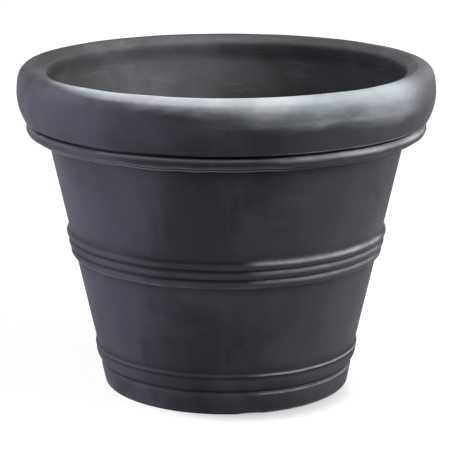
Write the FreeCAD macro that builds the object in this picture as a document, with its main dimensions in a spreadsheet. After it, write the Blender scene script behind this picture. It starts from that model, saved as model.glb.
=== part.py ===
import FreeCAD, Part
import math
import os
import Sketcher

# A round garden planter: one moulded pot with a hollow rolled rim, four pull-out drain plugs with
# their seals, and a button that closes the rim's vent hole. Millimetres, +Z up, origin on the ground
# at the middle of the foot. The front is towards -Y.

# Driving dimensions. "proud" is how far a bead stands out of the wall, "out" is a distance from the
# wall line, and "rise" is the height of an arc above its chord.
DIMENSIONS = {
    "height": 397.5,
    "base_radius": 149.0,
    "shoulder_radius": 237.0,
    "wall": 8.0,
    "floor_lift": 10.0,
    "floor_thickness": 8.0,
    "floor_round": 12.0,
    "foot_ring_width": 18.0,
    "foot_height": 29.2,
    "foot_proud": 1.8,
    "foot_round": 3.5,
    "foot_edge": 5.0,
    "foot_edge_rise": 1.0,
    "foot_groove": 3.2,
    "broad_bead_height": 19.4,
    "broad_bead_proud": 3.7,
    "band_groove_out": 1.8,
    "thin_bead_height": 5.9,
    "thin_bead_proud": 1.7,
    "belt_beads": 3,
    "belt_height": 164.8,
    "belt_bead_height": 11.5,
    "belt_bead_proud": 4.5,
    "belt_groove_out": 0.5,
    "collar_depth": 17.5,
    "collar_low_out": 17.5,
    "collar_top_out": 18.9,
    "collar_corner": 3.8,
    "collar_rise": 4.6,
    "neck_gap": 3.8,
    "neck_out": 12.0,
    "rim_shoulder_height": 17.4,
    "rim_face_height": 45.5,
    "rim_low_out": 23.1,
    "rim_high_out": 19.5,
    "rim_edge": 2.5,
    "rim_face_rise": 3.7,
    "rim_shoulder_rise": 2.7,
    "crown_out": 3.0,
    "crown_width": 18.0,
    "crown_drop": 4.5,
    "crown_rise": 0.8,
    "lip_depth": 27.0,
    "lip_rise": 4.6,
    "rim_skin": 6.0,
    "notch_count": 4,
    "notch_bearing": -79.0,
    "notch_width": 28.0,
    "notch_height": 2.0,
    "drain_count": 4,
    "drain_bearing": 45.0,
    "drain_ring": 80.0,
    "drain_radius": 11.0,
    "plug_clearance": 0.3,
    "plug_tip": 1.5,
    "plug_chamfer": 1.2,
    "plug_head_radius": 18.0,
    "plug_head": 4.0,
    "plug_head_edge": 1.5,
    "bar_length": 24.0,
    "bar_width": 6.0,
    "bar_height": 12.0,
    "bar_rise": 3.0,
    "seal_radius": 17.0,
    "seal_thickness": 2.0,
    "seal_clearance": 0.3,
    "vent_bearing": 90.0,
    "vent_radius": 3.0,
    "vent_head_radius": 5.0,
    "vent_head": 1.6,
    "vent_clearance": 0.05,
    "vent_tip": 1.5,
    "overcut": 1.0,
}

doc = FreeCAD.newDocument("garden_planter")
sheet = doc.addObject("Spreadsheet::Sheet", "sizes")
for row, (alias, size) in enumerate(DIMENSIONS.items(), start=1):
    sheet.set("A%d" % row, alias.replace("_", " "))
    sheet.set("B%d" % row, str(size))
    sheet.setAlias("B%d" % row, alias)
doc.recompute()

# Heights that several pieces share
FLOOR_TOP = "(sizes.floor_lift + sizes.floor_thickness)"
BROAD_BEAD_TOP = "(sizes.foot_height + sizes.broad_bead_height)"
THIN_BEAD_TOP = "(%s + sizes.thin_bead_height)" % BROAD_BEAD_TOP
RIM_FACE_TOP = "(sizes.height - sizes.rim_shoulder_height)"
RIM_LOW = "(%s - sizes.rim_face_height)" % RIM_FACE_TOP
COLLAR_TOP = "(%s - sizes.neck_gap)" % RIM_LOW
COLLAR_BOTTOM = "(%s - sizes.collar_depth)" % COLLAR_TOP
LIP_ROOT = "(sizes.height - sizes.lip_depth)"

# Slopes, radii and distances from the wall line that several pieces share
TAPER = "((sizes.shoulder_radius - sizes.base_radius) / sizes.height)"
CROWN = "(sizes.shoulder_radius + sizes.crown_out)"
WALL_MIDDLE = "(sizes.wall / 2)"
VENT_OUT = "((sizes.collar_low_out - sizes.collar_corner) / 2)"


def number(expression):
    """The present value of an expression on the sheet."""
    return float(sheet.evalExpression(expression))


def wall_line(height, out="0"):
    """The radius at a height of the pot's tapering outer wall, or of a line parallel to it."""
    return "(sizes.base_radius + %s * (%s) + (%s))" % (TAPER, height, out)


def make_body(name):
    body = doc.addObject("PartDesign::Body", name)
    body.Label = name
    return body


def origin_feature(body, role):
    return next(item for item in body.Origin.OriginFeatures if item.Role == role)


def make_sketch(body, name, plane):
    sketch = body.newObject("Sketcher::SketchObject", name)
    sketch.AttachmentSupport = [(origin_feature(body, plane), "")]
    sketch.MapMode = "FlatFace"
    return sketch


def arc_radius(start, end, rise):
    """The radius of the arc between two corners that stands a given rise above its chord."""
    across = "((%s) - (%s))" % (end[0], start[0])
    up = "((%s) - (%s))" % (end[1], start[1])
    return "((%s ^ 2 + %s ^ 2) / (8 * (%s)) + (%s) / 2)" % (across, up, rise, rise)


def corner_rise(radius, slope=TAPER):
    """The rise of the arc that leaves a level face and climbs by its radius to a side that leans out."""
    across = "(1 + %s)" % slope
    chord = "sqrt(%s ^ 2 + 1)" % across
    return "(%s * %s * (%s - %s) / 2)" % (radius, chord, chord, across)


def arc_geometry(start, end, radius, turn):
    """The shorter arc from start to end: turn is +1 when it runs counter-clockwise and -1 when not."""
    chord = end.sub(start)
    left = FreeCAD.Vector(-chord.y, chord.x, 0).normalize()
    reach = math.sqrt(max(radius ** 2 - chord.Length ** 2 / 4, 0))
    centre = start + chord * 0.5 + left * reach * turn
    first, last = (start, end) if turn > 0 else (end, start)
    angles = [math.atan2(point.y - centre.y, point.x - centre.x) for point in (first, last)]
    circle = Part.Circle(centre, FreeCAD.Vector(0, 0, 1), radius)
    return Part.ArcOfCircle(circle, angles[0], angles[1])


def bind(sketch, constraint, expression):
    index = sketch.addConstraint(constraint)
    sketch.setExpression("Constraints[%d]" % index, expression)


def place_point(sketch, edge, end, across, up):
    """Ties a point to its distance from the sketch's two axes."""
    for kind, expression, axis in (("DistanceX", across, -2), ("DistanceY", up, -1)):
        if expression == "0":
            sketch.addConstraint(Sketcher.Constraint("PointOnObject", edge, end, axis))
        else:
            size = number(expression)
            bind(sketch, Sketcher.Constraint(kind, -1, 1, edge, end, size), expression)


def closed_outline(sketch, corners):
    """Draws a closed outline. A corner is (across, up), with (turn, rise) after it when the edge to the
    next corner is an arc: it bulges to the outline's right for +1, to its left for -1."""
    points = [FreeCAD.Vector(number(corner[0]), number(corner[1]), 0) for corner in corners]
    count = len(corners)
    ends = []
    for i, corner in enumerate(corners):
        following = (i + 1) % count
        if len(corner) == 2:
            edge = sketch.addGeometry(Part.LineSegment(points[i], points[following]), False)
            ends.append((edge, 1, 2))
            continue
        turn, rise = corner[2]
        radius = arc_radius(corner, corners[following], rise)
        arc = arc_geometry(points[i], points[following], number(radius), turn)
        edge = sketch.addGeometry(arc, False)
        ends.append((edge, 1, 2) if turn > 0 else (edge, 2, 1))
        bind(sketch, Sketcher.Constraint("Radius", edge, number(radius)), radius)
    for i, (edge, start, end) in enumerate(ends):
        following_edge, following_start, _ = ends[(i + 1) % count]
        sketch.addConstraint(Sketcher.Constraint("Coincident", edge, end, following_edge, following_start))
        place_point(sketch, edge, start, corners[i][0], corners[i][1])


def revolve(body, name, corners, kind="PartDesign::Revolution"):
    """A full turn about Z of an outline given as (radius, height) corners."""
    sketch = make_sketch(body, name + "_section", "XZ_Plane")
    closed_outline(sketch, corners)
    feature = body.newObject(kind, name)
    feature.Profile = sketch
    feature.ReferenceAxis = (sketch, ["V_Axis"])
    feature.Angle = 360
    doc.recompute()
    return feature


def cut_upwards(body, name, sketch, depth):
    """A pocket that cuts towards +Z from its sketch, and must remove material."""
    before = body.Shape.Volume
    pocket = body.newObject("PartDesign::Pocket", name)
    pocket.Profile = sketch
    pocket.Reversed = True
    pocket.setExpression("Length", depth)
    doc.recompute()
    if body.Shape.Volume >= before:
        raise RuntimeError(name + " removes nothing")
    return pocket


def repeat_round(body, name, feature, count):
    pattern = body.newObject("PartDesign::PolarPattern", name)
    pattern.Originals = [feature]
    pattern.Axis = (origin_feature(body, "Z_Axis"), [""])
    pattern.Angle = 360
    pattern.setExpression("Occurrences", count)
    body.Tip = pattern
    doc.recompute()


def turned_sketch(body, name, bearing, lift="0"):
    """A sketch on the ground plane, or parallel to it, turned so that its X axis has a bearing."""
    sketch = make_sketch(body, name, "XY_Plane")
    sketch.AttachmentOffset = FreeCAD.Placement(
        FreeCAD.Vector(0, 0, number(lift)), FreeCAD.Rotation(FreeCAD.Vector(0, 0, 1), number(bearing)))
    sketch.setExpression("AttachmentOffset.Base.z", lift)
    sketch.setExpression("AttachmentOffset.Rotation.Angle", bearing)
    return sketch


def circle_in(sketch, across, radius):
    centre = FreeCAD.Vector(number(across), 0, 0)
    edge = sketch.addGeometry(Part.Circle(centre, FreeCAD.Vector(0, 0, 1), number(radius)), False)
    bind(sketch, Sketcher.Constraint("Radius", edge, number(radius)), radius)
    place_point(sketch, edge, 3, across, "0")


def stand_at(body, ring, bearing, height):
    """Moves a piece, made on the Z axis, to a bearing on a ring about that axis, and to a height."""
    body.setExpression("Placement.Base.x", "%s * cos((%s) * 1 deg)" % (ring, bearing))
    body.setExpression("Placement.Base.y", "%s * sin((%s) * 1 deg)" % (ring, bearing))
    body.setExpression("Placement.Base.z", height)


def bead_band(heights, outs, prouds):
    """The outline of beads that stand one above the other on the wall, rooted in the wall's middle. The
    beads meet at the heights, in grooves that lie at the outs from the wall line."""
    corners = [(wall_line(heights[0], "-" + WALL_MIDDLE), heights[0])]
    for height, out, proud in zip(heights, outs, prouds):
        corners.append((wall_line(height, out), height, (1, proud)))
    corners.append((wall_line(heights[-1], outs[-1]), heights[-1]))
    corners.append((wall_line(heights[-1], "-" + WALL_MIDDLE), heights[-1]))
    return corners


def make_wall(body):
    """Foot, tapering wall and floor. The floor is lifted, so the pot stands on a ring."""
    ring_inside = "(sizes.base_radius - sizes.foot_ring_width)"
    foot_top_edge = "(sizes.foot_height - sizes.foot_edge)"
    floor_bend = "(%s + sizes.floor_round)" % FLOOR_TOP
    revolve(body, "pot_wall", [
        ("0", "sizes.floor_lift"),
        (ring_inside, "sizes.floor_lift"),
        (ring_inside, "0"),
        (wall_line("0", "sizes.foot_proud - sizes.foot_round"), "0", (1, corner_rise("sizes.foot_round"))),
        (wall_line("sizes.foot_round", "sizes.foot_proud"), "sizes.foot_round"),
        (wall_line(foot_top_edge, "sizes.foot_proud"), foot_top_edge, (1, "sizes.foot_edge_rise")),
        (wall_line("sizes.foot_height", "-sizes.foot_groove"), "sizes.foot_height"),
        (wall_line(BROAD_BEAD_TOP), BROAD_BEAD_TOP),
        (wall_line(LIP_ROOT), LIP_ROOT),
        (wall_line(LIP_ROOT, "-sizes.wall"), LIP_ROOT),
        (wall_line(floor_bend, "-sizes.wall"), floor_bend, (-1, corner_rise("sizes.floor_round"))),
        (wall_line(FLOOR_TOP, "-sizes.wall - sizes.floor_round"), FLOOR_TOP),
        ("0", FLOOR_TOP),
    ])


def make_collar(body):
    """The rounded collar, and the narrow neck that joins it to the rim."""
    corner = "(%s + sizes.collar_corner)" % COLLAR_BOTTOM
    flat_out = "sizes.collar_low_out - sizes.collar_corner"
    revolve(body, "collar", [
        (wall_line(COLLAR_BOTTOM, "-" + WALL_MIDDLE), COLLAR_BOTTOM),
        (wall_line(COLLAR_BOTTOM, flat_out), COLLAR_BOTTOM, (1, corner_rise("sizes.collar_corner"))),
        (wall_line(corner, "sizes.collar_low_out"), corner, (1, "sizes.collar_rise")),
        (wall_line(COLLAR_TOP, "sizes.collar_top_out"), COLLAR_TOP),
        (wall_line(COLLAR_TOP, "sizes.neck_out"), COLLAR_TOP),
        (wall_line(RIM_LOW, "sizes.neck_out"), RIM_LOW),
        (wall_line(RIM_LOW, "-" + WALL_MIDDLE), RIM_LOW),
    ])


def make_rim(body):
    """The rolled rim: a tall outer face, a rounded shoulder, a crown that falls to a lip rolled inwards."""
    edge = "(%s + sizes.rim_edge)" % RIM_LOW
    low_out = "sizes.rim_low_out - sizes.rim_edge"
    crown_end = "(sizes.height - sizes.crown_drop)"
    revolve(body, "rolled_rim", [
        (wall_line(RIM_LOW, "-" + WALL_MIDDLE), RIM_LOW),
        (wall_line(RIM_LOW, low_out), RIM_LOW, (1, corner_rise("sizes.rim_edge"))),
        (wall_line(edge, "sizes.rim_low_out"), edge, (1, "sizes.rim_face_rise")),
        (wall_line(RIM_FACE_TOP, "sizes.rim_high_out"), RIM_FACE_TOP, (1, "sizes.rim_shoulder_rise")),
        (CROWN, "sizes.height", (1, "sizes.crown_rise")),
        ("(%s - sizes.crown_width)" % CROWN, crown_end, (1, "sizes.lip_rise")),
        (wall_line(LIP_ROOT, "-sizes.wall"), LIP_ROOT),
    ])


def make_rim_hollow(body):
    """The hollow inside the collar and the rim, which leaves a skin all round."""
    low = "(%s + sizes.rim_skin)" % COLLAR_BOTTOM
    neck_low = "(%s - sizes.rim_skin)" % COLLAR_TOP
    neck_high = "(%s + sizes.rim_skin)" % RIM_LOW
    belly = "(%s + 2 * sizes.rim_skin)" % RIM_LOW
    neck = "(sizes.neck_out - sizes.rim_skin)"
    revolve(body, "rim_hollow", [
        (wall_line(low), low),
        (wall_line(low, "sizes.collar_low_out - sizes.rim_skin"), low),
        (wall_line(neck_low, neck), neck_low),
        (wall_line(neck_high, neck), neck_high),
        (wall_line(belly, "sizes.rim_low_out - sizes.rim_skin"), belly),
        (wall_line(RIM_FACE_TOP, "sizes.rim_high_out - sizes.rim_skin"), RIM_FACE_TOP),
        (CROWN, "(sizes.height - sizes.rim_skin)"),
        (wall_line(RIM_FACE_TOP), RIM_FACE_TOP),
    ], "PartDesign::Groove")


def make_pot():
    """The pot itself, one moulding."""
    body = make_body("planter_shell")
    make_wall(body)
    revolve(body, "lower_band", bead_band(
        ["sizes.foot_height", BROAD_BEAD_TOP, THIN_BEAD_TOP],
        ["-sizes.foot_groove", "sizes.band_groove_out", "0"],
        ["sizes.broad_bead_proud", "sizes.thin_bead_proud"]))
    beads = int(number("sizes.belt_beads"))
    belt = ["(sizes.belt_height + %d * sizes.belt_bead_height)" % i for i in range(beads + 1)]
    grooves = ["0"] + ["sizes.belt_groove_out"] * (beads - 1) + ["0"]
    revolve(body, "belt", bead_band(belt, grooves, ["sizes.belt_bead_proud"] * beads))
    make_collar(body)
    make_rim(body)
    solid_rim = body.Shape.Volume
    make_rim_hollow(body)
    if body.Shape.Volume >= solid_rim:
        raise RuntimeError("the rim is not hollow")

    drain = turned_sketch(body, "drain_outline", "sizes.drain_bearing", "sizes.floor_lift")
    circle_in(drain, "sizes.drain_ring", "sizes.drain_radius")
    hole = cut_upwards(body, "drain_hole", drain, "sizes.floor_thickness + sizes.overcut")
    repeat_round(body, "drain_holes", hole, "sizes.drain_count")

    notch = turned_sketch(body, "notch_outline", "sizes.notch_bearing", "-sizes.overcut")
    inner = "(sizes.base_radius - sizes.foot_ring_width - sizes.overcut)"
    outer = "(sizes.base_radius + sizes.foot_proud + sizes.overcut)"
    half = "(sizes.notch_width / 2)"
    closed_outline(notch, [(inner, "-" + half), (outer, "-" + half), (outer, half), (inner, half)])
    slot = cut_upwards(body, "foot_notch", notch, "sizes.notch_height + sizes.overcut")
    repeat_round(body, "foot_notches", slot, "sizes.notch_count")

    vent = turned_sketch(body, "vent_outline", "sizes.vent_bearing", COLLAR_BOTTOM)
    circle_in(vent, wall_line(COLLAR_BOTTOM, VENT_OUT), "sizes.vent_radius")
    cut_upwards(body, "vent_hole", vent, "sizes.rim_skin + sizes.overcut")
    return body


def make_vent_plug():
    """A button pushed up into the vent hole under the back of the collar."""
    body = make_body("rim_vent_plug")
    shank = "(sizes.vent_radius - sizes.vent_clearance)"
    tip = "(sizes.rim_skin + sizes.vent_tip)"
    revolve(body, "button", [
        ("0", "-sizes.vent_head"),
        ("sizes.vent_head_radius", "-sizes.vent_head"),
        ("sizes.vent_head_radius", "0"),
        (shank, "0"),
        (shank, tip),
        ("0", tip),
    ])
    stand_at(body, wall_line(COLLAR_BOTTOM, VENT_OUT), "sizes.vent_bearing", COLLAR_BOTTOM)
    return body


def drain_bearing(index):
    return "sizes.drain_bearing + %d * 360 / sizes.drain_count" % index


def make_drain_plug(index):
    """A plug with a round head, a shank that fills the drain hole and a bar to pull it by."""
    body = make_body("drain_plug_%d" % (index + 1))
    shank = "(sizes.drain_radius - sizes.plug_clearance)"
    tip = "(-sizes.floor_thickness - sizes.plug_tip)"
    head_top = "(sizes.seal_thickness + sizes.plug_head)"
    head_edge = "(%s - sizes.plug_head_edge)" % head_top
    revolve(body, "plug_turned", [
        ("0", tip),
        ("(%s - sizes.plug_chamfer)" % shank, tip),
        (shank, "(%s + sizes.plug_chamfer)" % tip),
        (shank, "sizes.seal_thickness"),
        ("sizes.plug_head_radius", "sizes.seal_thickness"),
        ("sizes.plug_head_radius", head_edge, (1, corner_rise("sizes.plug_head_edge", "0"))),
        ("(sizes.plug_head_radius - sizes.plug_head_edge)", head_top),
        ("0", head_top),
    ])
    bar = make_sketch(body, "bar_outline", "XZ_Plane")
    half = "(sizes.bar_length / 2)"
    foot = "(%s - sizes.plug_head / 2)" % head_top
    shoulder = "(%s + sizes.bar_height - sizes.bar_rise)" % head_top
    closed_outline(bar, [
        ("-" + half, foot),
        (half, foot),
        (half, shoulder, (1, "sizes.bar_rise")),
        ("-" + half, shoulder),
    ])
    pad = body.newObject("PartDesign::Pad", "pull_bar")
    pad.Profile = bar
    pad.Midplane = True
    pad.setExpression("Length", "sizes.bar_width")
    stand_at(body, "sizes.drain_ring", drain_bearing(index), FLOOR_TOP)
    return body


def make_drain_seal(index):
    """A flat washer between the plug's head and the floor."""
    body = make_body("drain_seal_%d" % (index + 1))
    bore = "(sizes.drain_radius - sizes.plug_clearance + sizes.seal_clearance)"
    revolve(body, "washer", [
        (bore, "0"),
        ("sizes.seal_radius", "0"),
        ("sizes.seal_radius", "sizes.seal_thickness"),
        (bore, "sizes.seal_thickness"),
    ])
    stand_at(body, "sizes.drain_ring", drain_bearing(index), FLOOR_TOP)
    return body


pieces = [make_pot(), make_vent_plug()]
for drain_index in range(int(number("sizes.drain_count"))):
    pieces.append(make_drain_plug(drain_index))
    pieces.append(make_drain_seal(drain_index))
doc.recompute()

for item in doc.Objects:
    if "Invalid" in item.State or "Error" in item.State:
        raise RuntimeError("%s failed: %s" % (item.Name, item.State))
for piece in pieces:
    if piece.Shape.isNull() or not piece.Shape.isValid():
        raise RuntimeError(piece.Label + " has no valid shape")

os.makedirs("parts", exist_ok=True)
for piece in pieces:
    piece.Shape.exportStep("parts/%s.step" % piece.Label)
    box = piece.Shape.optimalBoundingBox(False, False)
    print("%-16s solids %d, volume %.1f cm3, z %.2f to %.2f, widest %.2f" % (
        piece.Label, len(piece.Shape.Solids), piece.Shape.Volume / 1000, box.ZMin, box.ZMax, box.XLength))
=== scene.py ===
# %% [markdown]
# # A charcoal garden planter with a rolled rim
# This lesson dresses a finished CAD model of a round garden planter. The CAD model gives the real
# sizes and says which pieces move: the pot stands still, and four drain plugs pull up out of its
# floor. Blender adds what the eye sees: softened mouldings, a slightly uneven hand-finished
# surface, a wiped charcoal finish, and soft studio light.
#
# The first step loads the CAD model as a fixed frame. Everything that follows is in metres, in the
# same frame, with the ground at zero and the front of the planter towards -Y.

# %% Load the frame
import math

import bmesh
import bpy
from mathutils import Matrix, Vector, noise


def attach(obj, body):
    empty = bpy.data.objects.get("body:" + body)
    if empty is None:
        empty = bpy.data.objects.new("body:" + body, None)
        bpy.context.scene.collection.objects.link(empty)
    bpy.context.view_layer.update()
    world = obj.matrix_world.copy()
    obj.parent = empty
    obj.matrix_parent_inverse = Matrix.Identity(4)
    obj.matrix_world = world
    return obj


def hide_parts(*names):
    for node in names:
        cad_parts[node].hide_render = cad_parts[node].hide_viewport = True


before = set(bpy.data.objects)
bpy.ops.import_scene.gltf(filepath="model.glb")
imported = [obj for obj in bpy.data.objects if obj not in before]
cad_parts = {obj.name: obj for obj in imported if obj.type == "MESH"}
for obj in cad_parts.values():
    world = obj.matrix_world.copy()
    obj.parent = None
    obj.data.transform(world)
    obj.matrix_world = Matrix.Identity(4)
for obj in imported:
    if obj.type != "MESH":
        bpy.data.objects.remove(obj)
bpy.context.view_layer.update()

MM = 0.001

# %% [markdown]
# ## A pen for turned pieces
# Nearly everything on this planter is a turned form: half of its outline, swept once round an
# upright axis, gives the whole piece. The outline could be typed in as a long list of points, but
# it is easier to read as a pen that draws lines and arcs, in millimetres, as on a drawing board. The
# pen extrudes a vertex for a line, and spins a vertex about a centre for an arc.

# %% The pen


class Pen:
    """Draws half of the outline of a turned piece, as (radius, height) in millimetres."""

    def __init__(self, radius, height, notes=()):
        self.shape = bmesh.new()
        for note in notes:
            self.shape.verts.layers.float.new(note)
        self.tip = self.shape.verts.new((radius * MM, 0, height * MM))
        self.stroke = [self.tip]

    def line(self, radius, height, step=4.0):
        """A straight stretch, in even steps so that it can be softened later."""
        start, end = self.tip.co.copy(), Vector((radius * MM, 0, height * MM))
        steps = max(1, round((end - start).length / MM / step))
        for i in range(1, steps + 1):
            self.tip = bmesh.ops.extrude_vert_indiv(self.shape, verts=[self.tip])["verts"][0]
            self.tip.co = start.lerp(end, i / steps)
            self.stroke.append(self.tip)
        return self

    def arc(self, radius, height, rise, step=1.4):
        """An arc that stands a rise above its chord: outwards when the rise is positive."""
        start, end = self.tip.co.copy(), Vector((radius * MM, 0, height * MM))
        chord, bulge = end - start, abs(rise) * MM
        bend = (chord.length ** 2 / 4 + bulge ** 2) / (2 * bulge)
        side = Vector((chord.z, 0, -chord.x)).normalized() * math.copysign(1, rise)
        centre = (start + end) / 2 + side * (bulge - bend)
        angle = 2 * math.asin(min(1, chord.length / 2 / bend))
        steps = max(3, round(bend * angle / MM / step))
        turn = math.copysign(angle / steps, -rise)
        for _ in range(steps):
            self.tip = bmesh.ops.spin(self.shape, geom=[self.tip], cent=centre, axis=(0, 1, 0),
                                      angle=turn, steps=1)["geom_last"][0]
            self.stroke.append(self.tip)
        return self

    def soften(self, radius, height, reach, rounds):
        """Relaxes the points that lie within reach of a join."""
        join = Vector((radius, 0, height)) * MM
        near = [v for v in self.stroke[1:-1] if (v.co - join).length < reach * MM]
        for _ in range(rounds):
            bmesh.ops.smooth_vert(self.shape, verts=near, factor=0.5,
                                  use_axis_x=True, use_axis_y=True, use_axis_z=True)
        return self

    def turn(self, steps):
        """Sweeps the outline once round the axis, closes it, and points its faces outwards."""
        shape = self.shape
        bmesh.ops.spin(shape, geom=shape.verts[:] + shape.edges[:], cent=(0, 0, 0), axis=(0, 0, 1),
                       angle=2 * math.pi, steps=steps, use_merge=True)
        bmesh.ops.remove_doubles(shape, verts=shape.verts[:], dist=1e-6)
        bmesh.ops.holes_fill(shape, edges=[e for e in shape.edges if e.is_boundary], sides=0)
        bmesh.ops.recalc_face_normals(shape, faces=shape.faces[:])
        return shape


print("the pen is ready")

# %% [markdown]
# ## Foot and lower band
# The pot is moulded in one piece, so one outline draws all of it. It stands on a narrow ring, with
# the floor lifted a little so that water can run out. Above the plain foot there is a sharp groove,
# then one broad bead and one thin bead. The groove makes the foot read as a moulding of its own, so
# it is cut deeper than the wall line. Six marks go with each point of this outline. They start
# empty, and a later step fills them in for the finish.

# %% Draw the foot and the lower band
MARKS = ("wear_and_edge_light", "groove", "shade", "crown", "ledge", "inside")
FLOOR_UNDERSIDE, FLOOR_TOP = 10.0, 18.0
RING_INSIDE, RING_OUTSIDE, RING_ROUNDING = 131.0, 147.3, 1.5
FOOT_EDGE, FOOT_TOP, FOOT_OUT = 3.5, 24.2, 1.8
GROOVE, GROOVE_OUT = 29.2, -3.2
BROAD_BEAD_TOP, THIN_BEAD_TOP = 48.6, 54.5


def wall(height, out=0.0):
    """The radius of the tapering wall at a height, or of a line that stands out from it."""
    base_radius, taper = 149.0, 0.22138
    return base_radius + taper * height + out


pot_pen = Pen(RING_INSIDE, FLOOR_UNDERSIDE, notes=MARKS)
pot_pen.line(RING_INSIDE, RING_ROUNDING).arc(RING_INSIDE + RING_ROUNDING, 0, rise=0.4)
pot_pen.line(RING_OUTSIDE, 0).arc(wall(FOOT_EDGE, FOOT_OUT), FOOT_EDGE, rise=1.0)
pot_pen.line(wall(FOOT_TOP, FOOT_OUT), FOOT_TOP)
pot_pen.arc(wall(GROOVE, GROOVE_OUT), GROOVE, rise=1.0, step=0.8)
pot_pen.arc(wall(BROAD_BEAD_TOP, FOOT_OUT), BROAD_BEAD_TOP, rise=3.7)
pot_pen.arc(wall(THIN_BEAD_TOP), THIN_BEAD_TOP, rise=1.7, step=0.8)
print("foot and lower band:", len(pot_pen.stroke), "points")

# %% [markdown]
# ## Belt
# Half way up, three round beads lie one on the other. They are drawn alike, each from groove to
# groove, and the wall runs on above and below them. A loop draws them, so that one pitch and one
# rise set all three.

# %% Draw the wall and the belt
BELT_FOOT, BEAD_PITCH, BEAD_RISE, BEAD_GROOVE = 164.8, 11.5, 4.5, 0.5
BELT_TOP = BELT_FOOT + 3 * BEAD_PITCH

pot_pen.line(wall(BELT_FOOT), BELT_FOOT)
for bead, bead_out in enumerate((BEAD_GROOVE, BEAD_GROOVE, 0.0), start=1):
    bead_top = BELT_FOOT + bead * BEAD_PITCH
    pot_pen.arc(wall(bead_top, bead_out), bead_top, rise=BEAD_RISE)
print("up to the top of the belt:", len(pot_pen.stroke), "points")

# %% [markdown]
# ## Collar
# The collar is a rounded ring close under the roll. A flat underside stands out from the wall, and
# one full arc makes its face. Between the collar and the roll the pen steps back into a narrow neck,
# a real recess a few millimetres tall, because a painted line wouldn't turn black at every angle.

# %% Draw the collar and the neck
COLLAR_FOOT, COLLAR_EDGE, COLLAR_TOP, ROLL_FOOT = 313.3, 317.1, 329.6, 333.6
COLLAR_FOOT_OUT, COLLAR_EDGE_OUT, COLLAR_TOP_OUT, NECK_OUT = 13.7, 17.5, 17.0, 12.0

pot_pen.line(wall(COLLAR_FOOT), COLLAR_FOOT)
pot_pen.line(wall(COLLAR_FOOT, COLLAR_FOOT_OUT), COLLAR_FOOT, step=2.0)
pot_pen.arc(wall(COLLAR_EDGE, COLLAR_EDGE_OUT), COLLAR_EDGE, rise=1.1, step=0.8)
pot_pen.arc(wall(COLLAR_TOP, COLLAR_TOP_OUT), COLLAR_TOP, rise=5.8)
pot_pen.line(wall(COLLAR_TOP, NECK_OUT), COLLAR_TOP, step=1.5)
pot_pen.line(wall(ROLL_FOOT, NECK_OUT), ROLL_FOOT, step=1.5)
print("up to the neck:", len(pot_pen.stroke), "points")

# %% [markdown]
# ## Roll, lip and inside
# The roll is one heavy moulding: a tall face, a round shoulder, a crown and a lip that curls back
# into the mouth. Each of these is one arc, which keeps the reflection on it in one piece. Behind the
# lip the inner wall runs down to the floor, one wall thickness inside the outer one.

# %% Draw the roll, the lip and the inside
ROLL_EDGE, ROLL_FOOT_OUT, ROLL_EDGE_OUT = 336.3, 20.6, 23.1
SHOULDER, SHOULDER_OUT = 380.1, 20.2
CROWN, CROWN_RADIUS = 399.5, 242.5
LIP_TOP, LIP_TOP_RADIUS = 393.4, 223.0
LIP_EDGE, LIP_EDGE_RADIUS, LIP_ROOT = 386.0, 217.6, 366.0
WALL_THICKNESS, FLOOR_CURVE_TOP, FLOOR_CURVE_WIDTH = 8.0, 30.0, 12.0

pot_pen.line(wall(ROLL_FOOT, ROLL_FOOT_OUT), ROLL_FOOT, step=1.5)
pot_pen.arc(wall(ROLL_EDGE, ROLL_EDGE_OUT), ROLL_EDGE, rise=0.75, step=0.8)
pot_pen.arc(wall(SHOULDER, SHOULDER_OUT), SHOULDER, rise=3.7, step=2.0)
pot_pen.arc(CROWN_RADIUS, CROWN, rise=3.2, step=2.0)
pot_pen.arc(LIP_TOP_RADIUS, LIP_TOP, rise=0.6, step=2.0)
pot_pen.arc(LIP_EDGE_RADIUS, LIP_EDGE, rise=2.0, step=1.0)
pot_pen.line(wall(LIP_ROOT, -WALL_THICKNESS), LIP_ROOT, step=2.0)
pot_pen.line(wall(FLOOR_CURVE_TOP, -WALL_THICKNESS), FLOOR_CURVE_TOP, step=7.0)
pot_pen.arc(wall(FLOOR_TOP, -WALL_THICKNESS - FLOOR_CURVE_WIDTH), FLOOR_TOP, rise=-3.2, step=2.5)
print("whole outline:", len(pot_pen.stroke), "points")

# %% [markdown]
# ## Softened joins
# Moulded plastic has no knife edges. Wherever two strokes of the pen meet, the nearest points are
# relaxed a few times, so a groove stays sharp but gets a small radius, and the roll runs on without
# a visible join. A bevel would do for the small edges, but not for the long blends on the roll.

# %% Soften the joins
for height, out, reach, rounds in (
        (FOOT_TOP, FOOT_OUT, 4.0, 4), (GROOVE, GROOVE_OUT, 1.8, 2),
        (BROAD_BEAD_TOP, FOOT_OUT, 1.8, 2), (THIN_BEAD_TOP, 0, 3.0, 2),
        (BELT_FOOT, 0, 3.0, 2), (BELT_FOOT + BEAD_PITCH, BEAD_GROOVE, 2.0, 2),
        (BELT_FOOT + 2 * BEAD_PITCH, BEAD_GROOVE, 2.0, 2), (BELT_TOP, 0, 3.0, 2),
        (COLLAR_FOOT, 0, 5.0, 3), (COLLAR_EDGE, COLLAR_EDGE_OUT, 3.0, 3),
        (COLLAR_TOP, COLLAR_TOP_OUT, 2.5, 3), (ROLL_EDGE, ROLL_EDGE_OUT, 2.5, 2),
        (SHOULDER, SHOULDER_OUT, 12.0, 16), (LIP_ROOT, -WALL_THICKNESS, 10.0, 10)):
    pot_pen.soften(wall(height, out), height, reach, rounds)
pot_pen.soften(CROWN_RADIUS, CROWN, 10.0, 12)
pot_pen.soften(LIP_TOP_RADIUS, LIP_TOP, 7.0, 12)
pot_pen.soften(LIP_EDGE_RADIUS, LIP_EDGE, 5.0, 8)
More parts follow.
